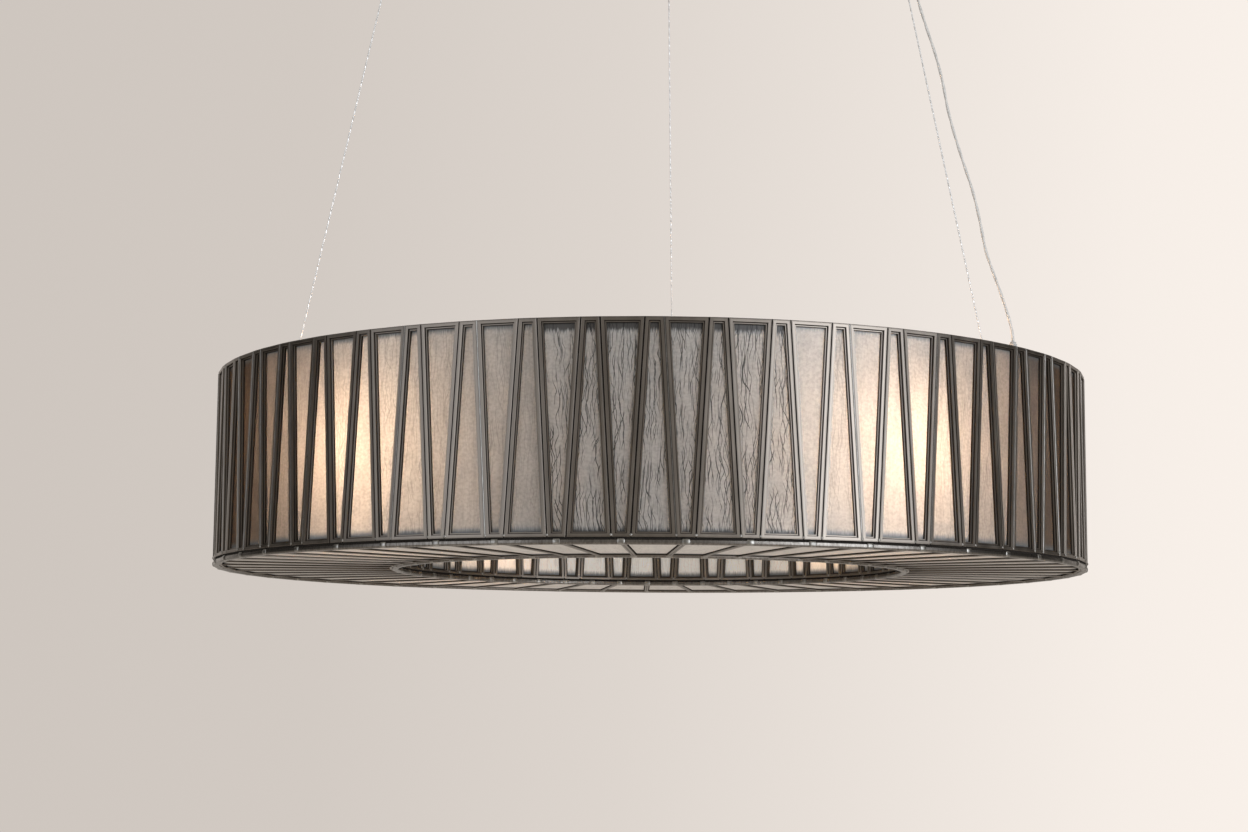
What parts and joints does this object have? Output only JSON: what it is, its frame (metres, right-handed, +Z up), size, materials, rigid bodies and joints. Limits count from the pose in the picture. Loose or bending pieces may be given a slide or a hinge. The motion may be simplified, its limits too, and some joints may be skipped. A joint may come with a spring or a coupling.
{
  "type": "ring chandelier",
  "caption": "Wide flat ring of zigzag frosted glass panels in metal came, with an open middle, hung on cables from a round canopy.",
  "frame": {"origin": "middle of the ceiling bracket's top face, which lies against the ceiling", "axes": "+Z up along the ring's axis; -Y is the front, half way between the two front cables; +X is to the right seen from the front"},
  "size_m": [0.9144, 0.9144, 0.7811],
  "materials": {
    "came_pewter": "dark pewter patina on soldered metal came",
    "frosted_glass": "frosted, finely stippled, warm grey",
    "bar_steel": "galvanised",
    "wire_rope": "bright stainless steel wire rope",
    "satin_nickel": "satin nickel plate",
    "sleeve_brass": "turned brass",
    "canopy_pewter": "satin pewter",
    "black_phenolic": "black moulded phenolic",
    "opal_bulb": "opal glass, lit warm white",
    "grey_sheath": "translucent grey PVC sheath",
    "grip_rubber": "moulded grey rubber",
    "white_nylon": "moulded white nylon"
  },
  "bodies": {
    "fixture": {"bottom_frame": "came_pewter", "bottom_glass_back": "frosted_glass", "bottom_glass_left": "frosted_glass", "bottom_glass_right": "frosted_glass", "cable_back": "wire_rope", "cable_left": "wire_rope", "cable_right": "wire_rope", "cable_stop_back": "bar_steel", "cable_stop_left": "bar_steel", "cable_stop_right": "bar_steel", "canopy": "canopy_pewter", "ceiling_bracket": "bar_steel", "cord_grip_canopy": "grip_rubber", "cord_grip_ring": "grip_rubber", "gripper_back": "satin_nickel", "gripper_left": "satin_nickel", "gripper_right": "satin_nickel", "inner_frame": "came_pewter", "inner_glass_back": "frosted_glass", "inner_glass_left": "frosted_glass", "inner_glass_right": "frosted_glass", "inner_rim": "came_pewter", "inner_top_rail": "came_pewter", "junction_box": "white_nylon", "junction_box_lid": "white_nylon", "lamp_bar_back_left": "bar_steel", "lamp_bar_back_right": "bar_steel", "lamp_bar_front_left": "bar_steel", "lamp_bar_front_right": "bar_steel", "lampholder_back_left": "black_phenolic", "lampholder_back_right": "black_phenolic", "lampholder_front_left": "black_phenolic", "lampholder_front_right": "black_phenolic", "lead_back_left": "grey_sheath", "lead_back_right": "grey_sheath", "lead_front_left": "grey_sheath", "lead_front_right": "grey_sheath", "outer_frame": "came_pewter", "outer_glass_back": "frosted_glass", "outer_glass_left": "frosted_glass", "outer_glass_right": "frosted_glass", "outer_rim": "came_pewter", "outer_top_rail": "came_pewter", "power_cord": "grey_sheath", "strut_back": "bar_steel", "strut_left": "bar_steel", "strut_right": "bar_steel", "terminal_block": "white_nylon", "terminal_strip": "white_nylon"},
    "bulb_back_left": {"bulb_back_left": "opal_bulb"},
    "bulb_back_right": {"bulb_back_right": "opal_bulb"},
    "bulb_front_left": {"bulb_front_left": "opal_bulb"},
    "bulb_front_right": {"bulb_front_right": "opal_bulb"},
    "cap_nut_back_left": {"cap_nut_back_left": "satin_nickel"},
    "cap_nut_back_right": {"cap_nut_back_right": "satin_nickel"},
    "cap_nut_front": {"cap_nut_front": "satin_nickel"},
    "release_sleeve_back": {"release_sleeve_back": "sleeve_brass"},
    "release_sleeve_left": {"release_sleeve_left": "sleeve_brass"},
    "release_sleeve_right": {"release_sleeve_right": "sleeve_brass"}
  },
  "joints": [
    {"name": "bulb_front_right_turn", "type": "hinge", "parent": "fixture", "child": "bulb_front_right", "pos_m": [0.25594, -0.25594, -0.6058], "axis": [0, 0, -1], "range_deg": [0, 900]},
    {"name": "bulb_back_right_turn", "type": "hinge", "parent": "fixture", "child": "bulb_back_right", "pos_m": [0.25594, 0.25594, -0.6058], "axis": [0, 0, -1], "range_deg": [0, 900]},
    {"name": "bulb_back_left_turn", "type": "hinge", "parent": "fixture", "child": "bulb_back_left", "pos_m": [-0.25594, 0.25594, -0.6058], "axis": [0, 0, -1], "range_deg": [0, 900]},
    {"name": "bulb_front_left_turn", "type": "hinge", "parent": "fixture", "child": "bulb_front_left", "pos_m": [-0.25594, -0.25594, -0.6058], "axis": [0, 0, -1], "range_deg": [0, 900]},
    {"name": "release_sleeve_right_push", "type": "slide", "parent": "fixture", "child": "release_sleeve_right", "axis": [-0.1809, 0.1044, 0.9779], "range_m": [0, 0.0025], "stiffness_N_per_m": 400},
    {"name": "release_sleeve_back_push", "type": "slide", "parent": "fixture", "child": "release_sleeve_back", "axis": [0, -0.2089, 0.9779], "range_m": [0, 0.0025], "stiffness_N_per_m": 400},
    {"name": "release_sleeve_left_push", "type": "slide", "parent": "fixture", "child": "release_sleeve_left", "axis": [0.1809, 0.1044, 0.9779], "range_m": [0, 0.0025], "stiffness_N_per_m": 400},
    {"name": "cap_nut_front_turn", "type": "hinge", "parent": "fixture", "child": "cap_nut_front", "pos_m": [0, -0.18, -0.0323], "axis": [0, 0, -1], "continuous": true},
    {"name": "cap_nut_back_right_turn", "type": "hinge", "parent": "fixture", "child": "cap_nut_back_right", "pos_m": [0.15588, 0.09, -0.0323], "axis": [0, 0, -1], "continuous": true},
    {"name": "cap_nut_back_left_turn", "type": "hinge", "parent": "fixture", "child": "cap_nut_back_left", "pos_m": [-0.15588, 0.09, -0.0323], "axis": [0, 0, -1], "continuous": true}
  ]
}
